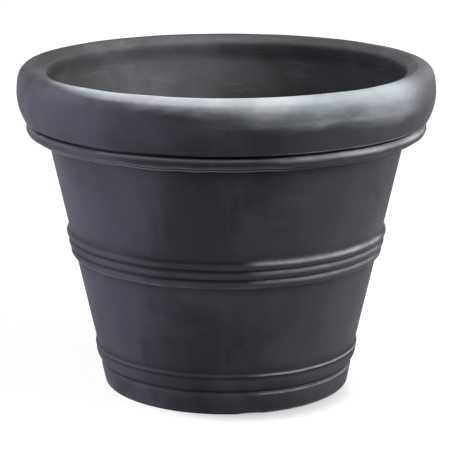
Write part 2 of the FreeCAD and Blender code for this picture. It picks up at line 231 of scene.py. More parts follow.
print("outline reaches", round(max(v.co.x for v in pot_pen.stroke) / MM, 2), "mm out and",
      round(max(v.co.z for v in pot_pen.stroke) / MM, 2), "mm up")

# %% [markdown]
# ## Pale edges and dark grooves
# Pale edges are partly wear, where hands and cloths rub, and partly a painted highlight, and the
# grooves get painted shade. Both follow from how sharply the outline bends, so they are measured on
# the outline, once, and kept with each point as a mark from 0 to 1. The spin copies the marks to the
# whole pot, where the material reads them. Painting them by hand on the finished mesh would take far
# longer.

# %% Mark the edges and the grooves
NO_WEAR_BEND, FULL_WEAR_BEND, FULL_GROOVE_BEND = 0.18, 0.26, 0.25
wear_and_edge_light_mark, groove_shade_mark, shade_mark, crown_mark, ledge_mark, inside_mark = (
    pot_pen.shape.verts.layers.float[name] for name in MARKS)
stroke = pot_pen.stroke
corners = list(zip(stroke, stroke[1:], stroke[2:]))


def climb(value, start, end):
    """How far a value has come on its way from start to end, from 0 to 1."""
    return min(1, max(0, (value - start) / (end - start)))


for before, point, after in corners:
    way_in, way_out = point.co - before.co, after.co - point.co
    turn = math.atan2(way_in.x * way_out.z - way_in.z * way_out.x, way_in.dot(way_out))
    bend = turn / ((way_in.length + way_out.length) / 2 / MM)
    # this edge mark is partly wear and partly a painted highlight on the edges
    point[wear_and_edge_light_mark] = climb(bend, NO_WEAR_BEND, FULL_WEAR_BEND)
    # the groove mark carries painted shade for the grooves
    point[groove_shade_mark] = climb(-bend, 0, FULL_GROOVE_BEND)
print("edge points:", sum(v[wear_and_edge_light_mark] > 0.5 for v in stroke),
      "groove points:", sum(v[groove_shade_mark] > 0.5 for v in stroke))

# %% [markdown]
# ## Where the painted highlights lie
# A pale wash on the crown of the roll, and a pale mark on the upper side of the collar and the beads,
# are painted highlights where the lamps would reflect. Both are places where the outline leans back,
# so the lean of the stroke gives these marks. On the lower band only the edges get the painted
# highlight. The belt's beads show no rubbed edges, so they lose their wear mark, and the foot and the
# roll keep a tenth of theirs.

# %% Mark the crown and the ledges
ON_ROLL = (338, 350)
LIP_INSIDE = (228, 236)
COLLAR_FACE_OUT = (14.5, 17.5)
COLLAR_HIGHLIGHT, LOW_EDGE_HIGHLIGHT, ROLL_EDGE_HIGHLIGHT, LOWER_BEAD_HIGHLIGHT = 0.7, 0.6, 0.5, 0.6
WEAR_LEFT = 0.1
STEEPEST_WASH_HIGHLIGHT = 0.3


def fade_in(value, start, end):
    """A smooth climb from 0 to 1 as a value goes from start to end."""
    share = climb(value, start, end)
    return share * share * (3 - 2 * share)


for before, point, after in corners:
    lean = (after.co - before.co).normalized().x
    radius, height = point.co.x / MM, point.co.z / MM
    on_roll = fade_in(height, *ON_ROLL)
    skin = (wall(height, -2), wall(height, 1)) if height < LIP_ROOT else LIP_INSIDE
    outside = fade_in(radius, *skin)
    edge = outside * point[wear_and_edge_light_mark]
    # this ledge mark is a painted highlight, where the lamps would reflect on the ledges
    dust_and_highlight = outside * (1 - on_roll) * fade_in(-lean, -0.05, 0.60)
    if height > COLLAR_FOOT:
        dust_and_highlight *= COLLAR_HIGHLIGHT * fade_in(radius, *(wall(height, out) for out in COLLAR_FACE_OUT))
    if height < BELT_FOOT:
        dust_and_highlight = LOW_EDGE_HIGHLIGHT * edge
        point[wear_and_edge_light_mark] *= WEAR_LEFT
    elif height > ROLL_FOOT - 1:
        dust_and_highlight = max(dust_and_highlight, ROLL_EDGE_HIGHLIGHT * edge)
        point[wear_and_edge_light_mark] *= WEAR_LEFT
    elif BELT_FOOT + 4 < height < BELT_TOP + 6:
        dust_and_highlight *= LOWER_BEAD_HIGHLIGHT + (1 - LOWER_BEAD_HIGHLIGHT) * fade_in(height, BELT_TOP - BEAD_PITCH, BELT_TOP)
        point[wear_and_edge_light_mark] = 0.0
    point[ledge_mark] = dust_and_highlight
    # the crown mark places the pale wash on the roll, a painted highlight
    point[crown_mark] = outside * on_roll * max(0, STEEPEST_WASH_HIGHLIGHT - lean) / (1 + STEEPEST_WASH_HIGHLIGHT)
print("dusty points:", sum(v[ledge_mark] > 0.5 for v in stroke),
      "crown points:", sum(v[crown_mark] > 0.5 for v in stroke))

# %% [markdown]
# ## Where painted shade lies, and the inside
# Painted shade lies in the shelter under the collar, on top of it and under the lip, where the roll
# and the lip would shadow the surface. The inside has a plainer finish than the outside, so it gets a
# mark too. Worn edges and grooves are spread to their neighbours first: a mark on a single point
# would show as a hard thin line.

# %% Mark the shade and the inside
SPREAD_ROUNDS = 3
LIP_BLEND = (229, 241)
UNDER_LIP, OVER_LIP = (362, 376), (388, 394)
COLLAR_BACK = (319, 328)
UNDER_COLLAR, COLLAR_START = (285, 312), (313, 314)
LIP_SHADE, WALL_SHADE = 0.4, 0.45

for mark in (wear_and_edge_light_mark, groove_shade_mark) * SPREAD_ROUNDS:
    kept = [v[mark] for v in stroke]
    for i in range(1, len(stroke) - 1):
        stroke[i][mark] = max(kept[i] * 0.9, (kept[i - 1] + 2 * kept[i] + kept[i + 1]) / 4)
for point in stroke:
    radius, height = point.co.x / MM, point.co.z / MM
    under_floor = radius < RING_INSIDE + 1
    in_pot = height > FLOOR_TOP - 1 and radius < wall(height, -WALL_THICKNESS / 2)
    point[inside_mark] = 1.0 if under_floor or in_pot else 0.0
    if height > LIP_ROOT:
        point[inside_mark] = 1 - fade_in(radius, *LIP_BLEND)
    # the shade mark is painted shade under the lip, on the collar's top and on the wall under the collar
    if point[inside_mark] > 0.5:
        point[shade_mark] = LIP_SHADE * fade_in(height, *UNDER_LIP) * (1 - fade_in(height, *OVER_LIP))
    elif COLLAR_FOOT + 1 < height < ROLL_FOOT + 1:
        point[shade_mark] = fade_in(height, *COLLAR_BACK)
    else:
        point[shade_mark] = WALL_SHADE * fade_in(height, *UNDER_COLLAR) * (1 - fade_in(height, *COLLAR_START))
print("inside points:", sum(v[inside_mark] > 0.5 for v in stroke), "of", len(stroke))

# %% [markdown]
# ## Turn the outline into the pot
# One full spin makes the body, and its first and last rows are merged into one. The floor is a flat
# disc, above and below, so each of the two rings left open by the spin is filled by one face.

# %% Spin the pot


def finish_mesh(shape, name):
    """Makes an object from a bmesh, with smooth shading and crisp creases."""
    mesh = bpy.data.meshes.new(name)
    shape.to_mesh(mesh)
    shape.free()
    mesh.shade_smooth()
    mesh.set_sharp_from_angle(angle=math.radians(38))
    piece = bpy.data.objects.new(name, mesh)
    bpy.context.scene.collection.objects.link(piece)
    return piece


pot = finish_mesh(pot_pen.turn(steps=240), "planter_pot")
print("pot:", len(pot.data.polygons), "faces")

# %% [markdown]
# ## Drain holes, foot notches and the vent hole
# Four round holes in the floor let water out, four shallow notches in the foot let it run away from
# under the pot, and one small hole under the back of the collar lets the hollow rim breathe while it
# is moulded. They are cut with a Boolean, as a workshop would drill them.

# %% Drill the holes
DRAIN_RING, DRAIN_RADIUS, DRAIN_BEARINGS = 80.0, 11.0, (45, 135, 225, 315)
NOTCH_RING, NOTCH_BEARINGS = 141.0, (-79, 11, 101, 191)
NOTCH_LENGTH, NOTCH_HALF_WIDTH, NOTCH_HEIGHT = 30.0, 15.0, 2.2
VENT_RING, VENT_RADIUS, VENT_BEARING = wall(COLLAR_FOOT, COLLAR_FOOT_OUT / 2), 3.0, 90


def at_bearing(ring, degrees, height):
    """A place on a ring about the pot's axis, in metres."""
    angle = math.radians(degrees)
    return Vector((ring * math.cos(angle), ring * math.sin(angle), height)) * MM


def combine(piece, tool, operation):
    """Cuts a tool out of a piece, or joins the two, and removes the tool."""
    modifier = piece.modifiers.new(operation.lower(), "BOOLEAN")
    modifier.operation, modifier.object, modifier.solver = operation, tool, "EXACT"
    ready = piece.evaluated_get(bpy.context.evaluated_depsgraph_get())
    mesh = bpy.data.meshes.new_from_object(ready)
    piece.modifiers.clear()
    piece.data = mesh
    bpy.data.objects.remove(tool)


drills = bmesh.new()
for ring, bearing, height, radius, depth in [
        (VENT_RING, VENT_BEARING, COLLAR_FOOT + 2, VENT_RADIUS, 10),
        *[(DRAIN_RING, bearing, FLOOR_TOP - 4, DRAIN_RADIUS, 16) for bearing in DRAIN_BEARINGS]]:
    drill = bmesh.ops.create_cone(drills, cap_ends=True, segments=48, radius1=radius * MM,
                                  radius2=radius * MM, depth=depth * MM)["verts"]
    bmesh.ops.translate(drills, verts=drill, vec=at_bearing(ring, bearing, height))
for bearing in NOTCH_BEARINGS:
    notch = bmesh.ops.create_cone(drills, cap_ends=True, segments=24, radius1=1, radius2=1, depth=1)["verts"]
    lying = Matrix.Rotation(math.pi / 2, 3, "Y")
    turned = Matrix.Rotation(math.radians(bearing), 3, "Z")
    bmesh.ops.rotate(drills, verts=notch, cent=(0, 0, 0), matrix=lying)
    bmesh.ops.scale(drills, verts=notch, vec=(NOTCH_LENGTH * MM, NOTCH_HALF_WIDTH * MM, NOTCH_HEIGHT * MM))
    bmesh.ops.rotate(drills, verts=notch, cent=(0, 0, 0), matrix=turned)
    bmesh.ops.translate(drills, verts=notch, vec=at_bearing(NOTCH_RING, bearing, 0))
combine(pot, finish_mesh(drills, "drills"), "DIFFERENCE")
print("drilled pot:", len(pot.data.vertices), "points")

# %% [markdown]
# ## A hand-finished surface
# The real pot isn't a perfect lathe turning. Its beads waver a little, its wall has shallow flats and
# the collar's lower edge is wavy, which is what breaks up the reflections. Each point is moved by
# smooth noise that depends on where it is round the pot, by half a millimetre or so, and by more on
# the collar's edge. The foot's underside and the floor stay true, so that the pot stands flat and the
# plugs still fit. The floor, with the edges of its new holes, gets its inside mark here.

# %% Let the surface waver
WALL_WAVER, BEAD_WAVER, COLLAR_WAVER, HAND_WAVER = 0.55 * MM, 0.55 * MM, 1.6 * MM, 0.10 * MM
FLOOR_REACH = 125.0
INSIDE_START, OUTSIDE_START = (30, 70), (4, 16)
EDGE_START, EDGE_END, EDGE_OUT = (312, 313), (317, 330), (12, 15)

inside_values = pot.data.attributes["inside"].data
for vertex in pot.data.vertices:
    spot = vertex.co
    across = Vector((spot.x, spot.y, 0))
    radius, height = across.length / MM, spot.z / MM
    if radius < FLOOR_REACH:
        inside_values[vertex.index].value = 1.0
        continue
    outward = across.normalized()
    share = fade_in(height, *(INSIDE_START if inside_values[vertex.index].value else OUTSIDE_START))
    slow = noise.noise(outward * 1.7 + Vector((0, 0, spot.z * 5)))
    quick = noise.noise(outward * 13 + Vector((0, 0, spot.z * 45 + 9)))
    sway = noise.noise(outward * 4.5 + Vector((0, 0, spot.z * 9 + 31)))
    wave = noise.noise(outward * 9 + Vector((0, 0, 17)))
    wave *= fade_in(height, *EDGE_START) * (1 - fade_in(height, *EDGE_END))
    wave *= fade_in(radius - wall(height), *EDGE_OUT)
    sideways = outward * (slow * WALL_WAVER + quick * HAND_WAVER)
    vertex.co += share * (sideways + Vector((0, 0, sway * BEAD_WAVER + wave * COLLAR_WAVER)))
low_corner, high_corner = pot.bound_box[0], pot.bound_box[6]
print("wavering surface, box", [[round(c, 4) for c in corner] for corner in (low_corner, high_corner)])

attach(pot, "pot")
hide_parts("planter_shell")

# %% [markdown]
# ## Drain plugs
# Each drain hole is closed by a push-in plug: a round head with a soft edge, a shank that fills the
# hole, and a bar across the top to pull it by. The head and shank are turned, the bar is a block
# with rounded edges, and a Boolean joins the two into one moulding.

# %% Shape a plug
SEAL_TOP = FLOOR_TOP + 2.0
PLUG_HEAD_TOP = SEAL_TOP + 4.0
SHANK_RADIUS, HEAD_RADIUS = 10.7, 18.0
SHANK_TIP = 8.5
DISH_DEPTH = 0.7
BAR_LENGTH, BAR_WIDTH, BAR_HEIGHT = 24.0, 6.0, 14.0


def plug_shape():
    """A plug on the axis, at its own height."""
    pen = Pen(0, SHANK_TIP).line(SHANK_RADIUS - 1.2, SHANK_TIP, step=3)
    pen.arc(SHANK_RADIUS, SHANK_TIP + 1.2, rise=0.35, step=0.6)
    pen.line(SHANK_RADIUS, SEAL_TOP, step=3).line(HEAD_RADIUS - 0.6, SEAL_TOP, step=2)
    pen.arc(HEAD_RADIUS, SEAL_TOP + 0.6, rise=0.17, step=0.4)
    pen.line(HEAD_RADIUS, PLUG_HEAD_TOP - 1.5, step=1)
    pen.arc(HEAD_RADIUS - 1.5, PLUG_HEAD_TOP, rise=0.44, step=0.5)
    pen.line(HEAD_RADIUS - 3.5, PLUG_HEAD_TOP, step=1)
    pen.arc(HEAD_RADIUS - 5.0, PLUG_HEAD_TOP - DISH_DEPTH, rise=-0.3, step=0.5)
    pen.line(0, PLUG_HEAD_TOP - DISH_DEPTH, step=3)
    return pen.turn(steps=64)


def bar_shape():
    """The bar to pull by, with its upper corners well rounded."""
    bar = bmesh.new()
    block = bmesh.ops.create_cube(bar, size=1)["verts"]
    bmesh.ops.scale(bar, verts=block, vec=(BAR_LENGTH * MM, BAR_WIDTH * MM, BAR_HEIGHT * MM))
    bmesh.ops.translate(bar, verts=block, vec=(0, 0, (PLUG_HEAD_TOP + 5) * MM))
    ends = [e for e in bar.edges if abs(e.verts[0].co.x - e.verts[1].co.x) < 1e-6
            and all(v.co.z > (PLUG_HEAD_TOP + 6) * MM for v in e.verts)]
    bmesh.ops.bevel(bar, geom=ends, offset=5 * MM, offset_type="OFFSET", segments=6, profile=0.5,
                    affect="EDGES", material=-1)
    sharp = [e for e in bar.edges if e.calc_face_angle(0) > math.radians(50)]
    bmesh.ops.bevel(bar, geom=sharp, offset=1.2 * MM, offset_type="OFFSET", segments=3, profile=0.5,
                    affect="EDGES", material=-1)
    return bar


plug = finish_mesh(plug_shape(), "plug_pattern")
combine(plug, finish_mesh(bar_shape(), "bar_pattern"), "UNION")
print("one plug:", len(plug.data.polygons), "faces")

# %% [markdown]
# ## Four plugs in their holes
# The four plugs are alike, so the pattern is copied to each hole. The copy's place goes into its mesh
# and its object stays at the origin, as the CAD pieces do. Each copy rides on its own moving body.

# %% Copy the plug to the holes
plugs = []
for number, bearing in enumerate(DRAIN_BEARINGS, start=1):
    mesh = plug.data.copy()
    mesh.transform(Matrix.Translation(at_bearing(DRAIN_RING, bearing, 0)))
    piece = bpy.data.objects.new("pull_plug_%d" % number, mesh)
    bpy.context.scene.collection.objects.link(piece)
    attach(piece, "plug_%d" % number)
    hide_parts("drain_plug_%d" % number)
    plugs.append(piece)
bpy.data.objects.remove(plug)
print("plugs:", [p.name for p in plugs])

# %% [markdown]
# ## Rubber seals
# A flat rubber washer lies under the head of each plug. Squeezed between head and floor, its outer
# edge bulges a little, so the outline of its section has a round outer side.

# %% Make the four seals
SEAL_BORE, SEAL_RADIUS, SEAL_BULGE = 11.0, 17.0, 0.5
seals = []
for number, bearing in enumerate(DRAIN_BEARINGS, start=1):
    pen = Pen(SEAL_BORE, FLOOR_TOP).line(SEAL_RADIUS - SEAL_BULGE, FLOOR_TOP, step=2)
    pen.arc(SEAL_RADIUS - SEAL_BULGE, SEAL_TOP, rise=SEAL_BULGE, step=0.4)
    pen.line(SEAL_BORE, SEAL_TOP, step=2).line(SEAL_BORE, FLOOR_TOP, step=1)
    piece = finish_mesh(pen.turn(steps=64), "rubber_seal_%d" % number)
    piece.data.transform(Matrix.Translation(at_bearing(DRAIN_RING, bearing, 0)))
    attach(piece, "plug_%d" % number)
    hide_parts("drain_seal_%d" % number)
    seals.append(piece)
print("seals:", len(seals), "of", len(seals[0].data.polygons), "faces")

# %% [markdown]
# ## Vent button
# The vent hole under the back of the collar is closed by a small domed button, which is turned like
# the plugs and pushed in from below.

# %% Make the vent button
BUTTON_RADIUS, BUTTON_DEPTH, BUTTON_RIM, BUTTON_SHANK = 5.0, 1.6, 0.5, 2.95
BUTTON_TIP = COLLAR_FOOT + 7.5

pen = Pen(0, COLLAR_FOOT - BUTTON_DEPTH).arc(BUTTON_RADIUS, COLLAR_FOOT - BUTTON_RIM, rise=0.25, step=0.6)
pen.line(BUTTON_RADIUS, COLLAR_FOOT, step=0.5).line(BUTTON_SHANK, COLLAR_FOOT, step=1)
pen.line(BUTTON_SHANK, BUTTON_TIP - 1, step=2).line(BUTTON_SHANK - 0.8, BUTTON_TIP)
pen.line(0, BUTTON_TIP, step=2)
button = finish_mesh(pen.turn(steps=32), "vent_button")
button.data.transform(Matrix.Translation(at_bearing(VENT_RING, VENT_BEARING, 0)))
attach(button, "pot")
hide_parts("rim_vent_plug")
print("vent button:", len(button.data.polygons), "faces")

# %% [markdown]
# ## Building node trees
# The materials are node trees. They could be wired up by hand in the shader editor, but a few small
# helpers let each finish below read as a recipe. The first ones add a node, do sums and mix colours.

# %% Helpers for nodes, sums and colours


def add(tree, kind, sockets=None, **settings):
    """Adds a node. A socket gets a link if it is given another node's output, and else a value."""
    made = tree.nodes.new("ShaderNode" + kind)
    for name, value in settings.items():
        setattr(made, name, value)
    for name, value in (sockets or {}).items():
        if isinstance(value, bpy.types.NodeSocket):
            tree.links.new(value, made.inputs[name])
        else:
            made.inputs[name].default_value = value
    return made


def reckon(tree, operation, *values):
    """One step of arithmetic."""
    return add(tree, "Math", dict(enumerate(values)), operation=operation).outputs[0]


def times(tree, first, *others):
    """The product of two or more values."""
    for other in others:
        first = reckon(tree, "MULTIPLY", first, other)
    return first


def blend(tree, share, first, second):
    """A colour between two others."""
    return add(tree, "Mix", {0: share, 6: first, 7: second}, data_type="RGBA").outputs[2]


def grey(level, tint=(1, 1, 1)):
    """A grey, or a grey with a tint, as a colour."""
    return (*[level * t for t in tint], 1)


print("a middle grey is", grey(0.5))

# %% [markdown]
# ## Patterns and empty finishes
# The other helpers make soft noise, turn it into patches with a smooth step, and start a material.
# Noise reads Object coordinates, which are metres in the pot's own frame, so a scale of 5 gives
# patches of about 200 mm. A picture wrapped on the pot would need an unwrapped mesh first.

# %% Helpers for patterns and materials


def between(tree, value, low, high, to_low=0.0, to_high=1.0):
    """A smooth step from one level to another as a value climbs."""
    step = add(tree, "MapRange", {"Value": value, "From Min": low, "From Max": high, "To Min": to_low,
                                  "To Max": to_high}, interpolation_type="SMOOTHSTEP")
    return step.outputs[0]


def cloud(tree, place, scale, detail=3.0, roughness=0.5, distortion=0.0):
    """Soft random noise."""
    made = add(tree, "TexNoise", {"Vector": place, "Scale": scale, "Detail": detail,
                                  "Roughness": roughness, "Distortion": distortion})
    return made.outputs[0]


def new_finish(name):
    """An empty material, its node tree and its shader."""
    material = bpy.data.materials.new(name)
    material.use_nodes = True
    tree = material.node_tree
    return material, tree, tree.nodes["Principled BSDF"]


print("helpers are ready")

# %% [markdown]
# ## Wiped charcoal: where a place is
# The plastic is charcoal right through, and wiped with a thin pale wash that leaves it patchy. The
# patches run on smoothly over beads and grooves, so outside they follow the direction from the pot's
# axis and the height, and not the radius. Stretched copies of these coordinates give streaks down the
# wall and bands round it. The inside uses plain Object coordinates instead, because directions crowd
# together at the middle of the floor and would draw a star there.

# %% Find places on the pot
PATTERN_RADIUS = 0.22
charcoal, tree, shader = new_finish("wiped_charcoal")
place = add(tree, "TexCoord").outputs["Object"]
split = add(tree, "SeparateXYZ", {0: place})
flat = add(tree, "CombineXYZ", {"X": split.outputs["X"], "Y": split.outputs["Y"]}).outputs[0]
upright = add(tree, "CombineXYZ", {"Z": split.outputs["Z"]}).outputs[0]
way = add(tree, "VectorMath", {0: flat}, operation="NORMALIZE").outputs[0]
circle = add(tree, "VectorMath", {0: way, "Scale": PATTERN_RADIUS}, operation="SCALE").outputs[0]
around = add(tree, "VectorMath", {0: circle, 1: upright}, operation="ADD").outputs[0]
down_wall = add(tree, "Mapping", {"Vector": around, "Scale": (1, 1, 0.12)}).outputs[0]
round_wall = add(tree, "Mapping", {"Vector": around, "Scale": (1, 1, 4)}).outputs[0]
level = add(tree, "Mapping", {"Vector": place, "Scale": (1, 1, 7)}).outputs[0]
wear_and_edge_light, groove, shade, crown, ledge, inside = (
    add(tree, "Attribute", attribute_name=name).outputs["Fac"] for name in MARKS)
print("places on the pot:", len(tree.nodes), "nodes")

# %% [markdown]
# ## Wiped charcoal: the noises
# A wiped finish has marks of many sizes. Each one here is a noise of its own: broad patches in the
# plastic, ragged edges, bands round the wall, streaks from water, scuffs and clouds inside, small
# smudges, crumbs of dirt and chips in the painted ledge highlight. One noise for all of them would make them
# line up.

# %% Mix the noises
patches = between(tree, cloud(tree, around, 9, 4, 0.6, 0.5), 0.38, 0.62)
blotches = between(tree, cloud(tree, around, 10, 4, 0.58, 0.5), 0.38, 0.60, 0.25, 1.0)
ragged = cloud(tree, around, 8, 5, 0.6, 0.6)
smudges = cloud(tree, around, 13, 5, 0.6, 0.5)
bands = cloud(tree, round_wall, 9, 4, 0.6, 0.3)
chips = between(tree, cloud(tree, round_wall, 40, 3, 0.65), 0.38, 0.62, 0.66, 1.0)
streaks = between(tree, cloud(tree, down_wall, 30, 4, 0.6), 0.48, 0.75)
scuffs = between(tree, cloud(tree, level, 14, 5, 0.65, 0.3), 0.54, 0.74)
clouds = between(tree, cloud(tree, place, 8, 4, 0.6, 0.5), 0.36, 0.64)
crumbs = between(tree, cloud(tree, place, 150, 2, 0.5), 0.68, 0.74)
print("with the noises:", len(tree.nodes), "nodes")

# %% [markdown]
# ## Wiped charcoal: the sides of the pot
# The colour isn't the same all round. Painted light makes the left paler and bluish and the right a
# paler grey, as the side lamps would light them. The front keeps the dark base colour, and its ledges
# get a painted shade. The wash on the crown is a painted highlight: thickest on the front right,
# thinner at the right end, with a faint painted haze on the left. A dot product with a direction tells
# how far a place lies to that side, and a noise makes the edge ragged. A mask painted on the mesh
# would do the same, but couldn't be moved so easily.

# %% Tell the sides apart
LEFT, RIGHT, FRONT = (-0.94, -0.34, 0), (1, 0, 0), (-0.10, -0.995, 0)
HIGHLIGHT_WASH_MIDDLE, HIGHLIGHT_WASH_LOW, HAZE_MIDDLE = (0.50, -0.866, 0), (0.84, -0.54, 0), (-0.56, -0.83, 0)
HIGHLIGHT_FRONT, HIGHLIGHT_BACK, GREY_MIDDLE = (0.695, -0.719, 0), (-0.60, 0.80, 0), (0.82, -0.57, 0)
COLLAR_ZONE = (0.28, 0.30)


def side(towards, scatter, spread):
    """How far a place lies to one side of the pot, with a ragged edge."""
    facing = add(tree, "VectorMath", {0: way, 1: towards}, operation="DOT_PRODUCT").outputs["Value"]
    return reckon(tree, "MULTIPLY_ADD", scatter, spread, facing)


# painted light: the left paler and bluish, the right paler grey; the front side places painted shade on the
# front ledges
lit_blue_left = times(tree, between(tree, side(LEFT, ragged, 1.3), 0.87, 1.55), blotches)
lit_grey_right = between(tree, side(GREY_MIDDLE, bands, 0.2), 0.75, 1.05, 0.0, 0.6)
front_shade_side = between(tree, side(FRONT, ragged, 0.2), 0.92, 1.06)
# these sides place the painted ledge highlight at the front right and at the back
highlight_front, highlight_back = (
    between(tree, side(middle, ragged, 0.2), 0.90, 1.02) for middle in (HIGHLIGHT_FRONT, HIGHLIGHT_BACK))
highlight_side = reckon(tree, "MAXIMUM", highlight_front, highlight_back)
# these sides shape the painted highlight on the crown and its faint painted haze on the left
highlight_wash_side = add(tree, "MapRange", {"Value": side(HIGHLIGHT_WASH_MIDDLE, ragged, 0.3), "From Min": -0.06,
                                   "From Max": 1.05, "To Min": -0.80, "To Max": 0.11}).outputs[0]
low_side = between(tree, side(HIGHLIGHT_WASH_LOW, bands, 0.2), 0.90, 1.06, 0.0, 0.15)
thin_side = times(tree, between(tree, side(RIGHT, bands, 0.3), 0.30, 0.70, 1.0, 0.60),
                  between(tree, side(RIGHT, ragged, 0.1), 0.80, 1.0, 1.0, 0.15))
haze_highlight_side = between(tree, side(HAZE_MIDDLE, ragged, 0.3), 0.98, 1.14)
# this collar side is the lit left, where the painted shade and the groove shade are weaker
lit_left_collar = times(tree, between(tree, side(LEFT, ragged, 0.2), 0.55, 0.95),
                     between(tree, split.outputs["Z"], *COLLAR_ZONE))
print("with the sides:", len(tree.nodes), "nodes")

# %% [markdown]
# ## Wiped charcoal: the plastic
# Outside, the patches go from near black to charcoal, with painted light on the sides, blue on the
# left and grey on the right, and faint pale streaks. Inside, the plastic is a little paler and
# scuffed, with painted shade to the right and at the far left end. Each colour is laid over the last
# one with a blend, as thin coats of paint would be.

# %% Colour the plastic
INSIDE_SHADE_WAY = (4.8, 1.4, 0)
outside_colour = blend(tree, patches, grey(0.025, (1, 0.98, 1.13)), grey(0.047, (1, 0.975, 1.12)))
outside_colour = blend(tree, lit_blue_left, outside_colour, grey(0.061, (1, 0.96, 1.19)))
outside_colour = blend(tree, lit_grey_right, outside_colour, grey(0.057, (1, 0.98, 1.10)))
outside_colour = blend(tree, times(tree, streaks, 0.25), outside_colour, grey(0.070))

# painted shade inside, to the right and at the far left end
across = add(tree, "VectorMath", {0: place, 1: INSIDE_SHADE_WAY}, operation="DOT_PRODUCT").outputs["Value"]
painted_shade_right = between(tree, across, -0.2, 0.9, 0.0, 0.5)
painted_shade_left_end = between(tree, across, -0.80, -0.56, 0.6, 0.0)
inside_colour = blend(tree, clouds, grey(0.078, (1, 1, 1.05)), grey(0.126, (1, 0.99, 1.07)))
inside_colour = blend(tree, times(tree, scuffs, 0.7), inside_colour, grey(0.19))
for inside_shade in (painted_shade_right, painted_shade_left_end):
    inside_colour = blend(tree, inside_shade, inside_colour, grey(0.03))
plastic_colour = blend(tree, inside, outside_colour, inside_colour)
print("with the plastic:", len(tree.nodes), "nodes")

# %% [markdown]
# ## Wiped charcoal: painted shade, painted highlights and wear
# Over the plastic lie, in this order, painted shade in sheltered places, the pale wash on the crown
# as a painted highlight, painted shade on the ledges at the front, painted highlights on the ledges at
# the front right and at the back, painted shade in the grooves, rubbed edges that are partly wear and
# partly painted highlight, and a few crumbs. Each layer is a mark of the outline times a side times a
# noise, so it follows the pot's shape and still looks uneven.

# %% Lay the layers on
# this layer is painted shade under the collar, in the neck and under the lip
painted_shade = times(tree, shade, between(tree, smudges, 0.30, 0.55, 0.55, 1.0),
             between(tree, highlight_side, 0, 1, 1.0, 0.3), between(tree, lit_left_collar, 0, 1, 1.0, 0.3))
# the wash on the crown and the haze on the left are painted highlights
raised = reckon(tree, "ADD", reckon(tree, "ADD", crown, highlight_wash_side), low_side)
raised = reckon(tree, "MULTIPLY_ADD", bands, 0.5, raised)
painted_crown_highlight = times(tree, between(tree, raised, 0.49, 0.98), between(tree, crown, 0.0, 0.1), thin_side,
                between(tree, smudges, 0.34, 0.56, 0.80, 1.0))
left_haze_highlight = times(tree, haze_highlight_side, between(tree, crown, 0.25, 0.60),
             between(tree, smudges, 0.34, 0.56, 0.05, 0.13))
highlight_wash = blend(tree, blotches, grey(0.52, (0.87, 1.0, 1.03)), grey(0.58, (0.99, 1.0, 1.02)))
# painted highlight on the ledges
painted_ledge_highlight = times(tree, ledge, highlight_side, between(tree, smudges, 0.30, 0.60, 0.6, 1.0), chips)
# painted shade in the grooves, weaker on the lit left of the collar
painted_groove_shade = times(tree, groove, between(tree, lit_left_collar, 0, 1, 0.9, 0.15))
# rubbed edges: partly wear, partly a painted highlight
rubbed_and_highlit = times(tree, wear_and_edge_light, between(tree, smudges, 0.28, 0.54), between(tree, highlight_side, 0, 1, 1.0, 0.2), 0.9)
specks = times(tree, crumbs, between(tree, wear_and_edge_light, 0.0, 0.5, 0.05, 0.9))

# the dark cover on the front ledges is painted shade
colour = plastic_colour
for cover, paint in (
        (painted_shade, grey(0.010)), (left_haze_highlight, highlight_wash), (painted_crown_highlight, highlight_wash),
        (times(tree, ledge, front_shade_side, 0.8), grey(0.008)), (painted_ledge_highlight, grey(0.60, (0.96, 1.0, 1.02))),
        (painted_groove_shade, grey(0.004)), (rubbed_and_highlit, grey(0.32, (1, 1, 1.02))), (specks, grey(0.20))):
    colour = blend(tree, cover, colour, paint)
tree.links.new(colour, shader.inputs["Base Color"])
print("with the layers:", len(tree.nodes), "nodes")

# %% [markdown]
# ## Wiped charcoal: sheen and grain
# The finish is dull, with little gloss, and only the wash on the crown has a soft sheen. Two bumps,
# one the size of a thumb print and one as fine as sand, keep the reflections from looking like glass.
# Bump nodes are enough here, because neither would show in the outline.

# %% Give it sheen and grain
GLOSS, WASH_ROUGHNESS, INSIDE_ROUGHNESS = 0.13, 0.42, 0.75
outside_sheen = between(tree, smudges, 0.3, 0.7, 0.60, 0.74)
outside_sheen = add(tree, "MapRange", {"Value": painted_crown_highlight, "To Min": outside_sheen,
                                       "To Max": WASH_ROUGHNESS}).outputs[0]
sheen = add(tree, "MapRange", {"Value": inside, "To Min": outside_sheen,
                               "To Max": INSIDE_ROUGHNESS}).outputs[0]
tree.links.new(sheen, shader.inputs["Roughness"])
shader.inputs["Specular IOR Level"].default_value = GLOSS

hand_bump = add(tree, "Bump", {"Height": cloud(tree, place, 38, 3, 0.5), "Strength": 0.30,
                               "Distance": 0.0012})
grain_bump = add(tree, "Bump", {"Height": cloud(tree, place, 520, 2, 0.5), "Strength": 0.10,
                                "Distance": 0.0003, "Normal": hand_bump.outputs[0]})
tree.links.new(grain_bump.outputs[0], shader.inputs["Normal"])
pot.data.materials.clear()
pot.data.materials.append(charcoal)
print("charcoal finish:", len(tree.nodes), "nodes")

# %% [markdown]
# ## Plain black plastic and rubber
# The plugs and the vent button are plain moulded plastic with a fine spark-eroded grain. The seals
# are rubber: blacker, rougher, and dusted with a little pale soil. One function makes all three,
# because they differ only in how dark, how rough and how grainy they are.

# %% Make the plug plastic and the rubber
GRAIN_HEIGHT = 0.0002


